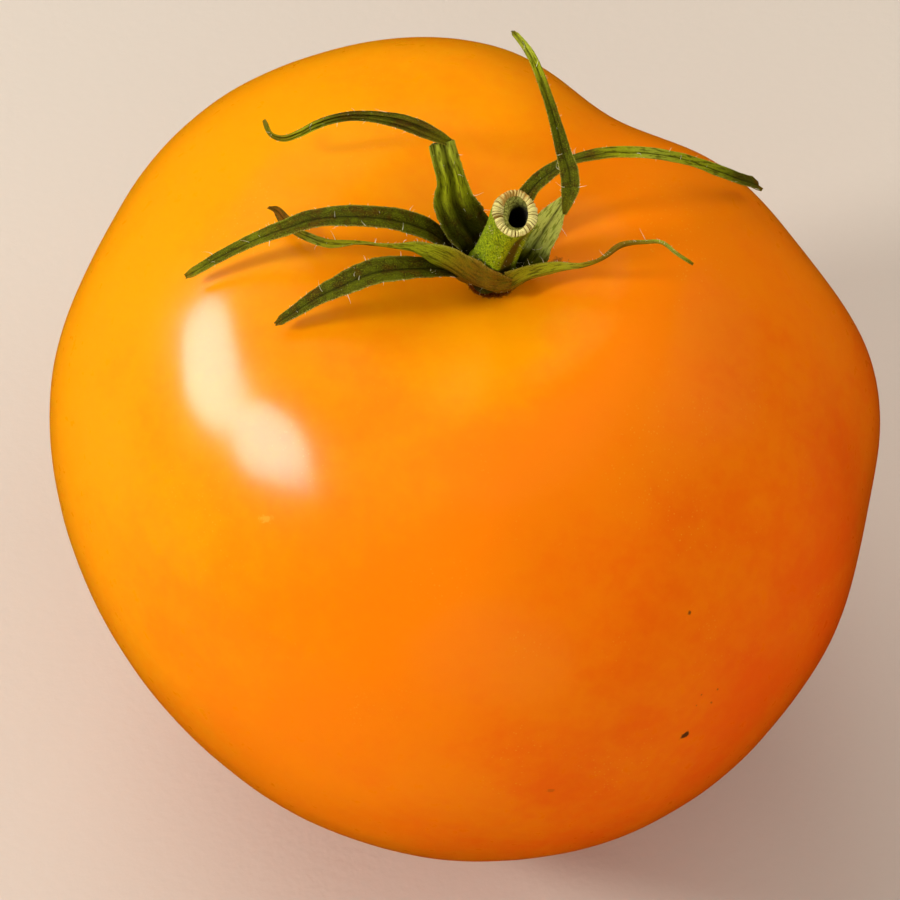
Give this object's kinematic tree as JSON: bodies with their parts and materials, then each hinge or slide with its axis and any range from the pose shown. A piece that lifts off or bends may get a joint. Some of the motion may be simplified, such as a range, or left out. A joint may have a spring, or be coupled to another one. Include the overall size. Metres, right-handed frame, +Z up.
{
  "type": "tomato",
  "caption": "Whole yellow-orange tomato with its dried green calyx and a short hollow cut stem, as picked, resting on its blossom end. Food for a kitchen, market or still life.",
  "frame": {"origin": "middle of the flat spot at the blossom end that the fruit rests on", "axes": "+Z up, out of the stem end; -Y is the side seen in front; the stem leans a little towards +X; the long upright sepal is on the +X side and points to +Y"},
  "size_m": [0.087, 0.0879, 0.0916],
  "materials": {
    "fruit_skin": "smooth waxy fruit skin, glossy, yellow-orange",
    "calyx": "dry matt leaf, dark green above and paler below, with fine pale hairs",
    "stem": "matt green stem with fine grain and a pale fibrous cut end"
  },
  "bodies": {
    "root": {"fruit": "fruit_skin", "calyx_disc": "calyx", "stem": "stem", "sepal_left_upper": "calyx", "sepal_left_lower": "calyx", "sepal_front_left": "calyx", "sepal_back_left": "calyx", "sepal_right_upright": "calyx", "sepal_back_right": "calyx", "sepal_front_right": "calyx"}
  },
  "joints": []
}
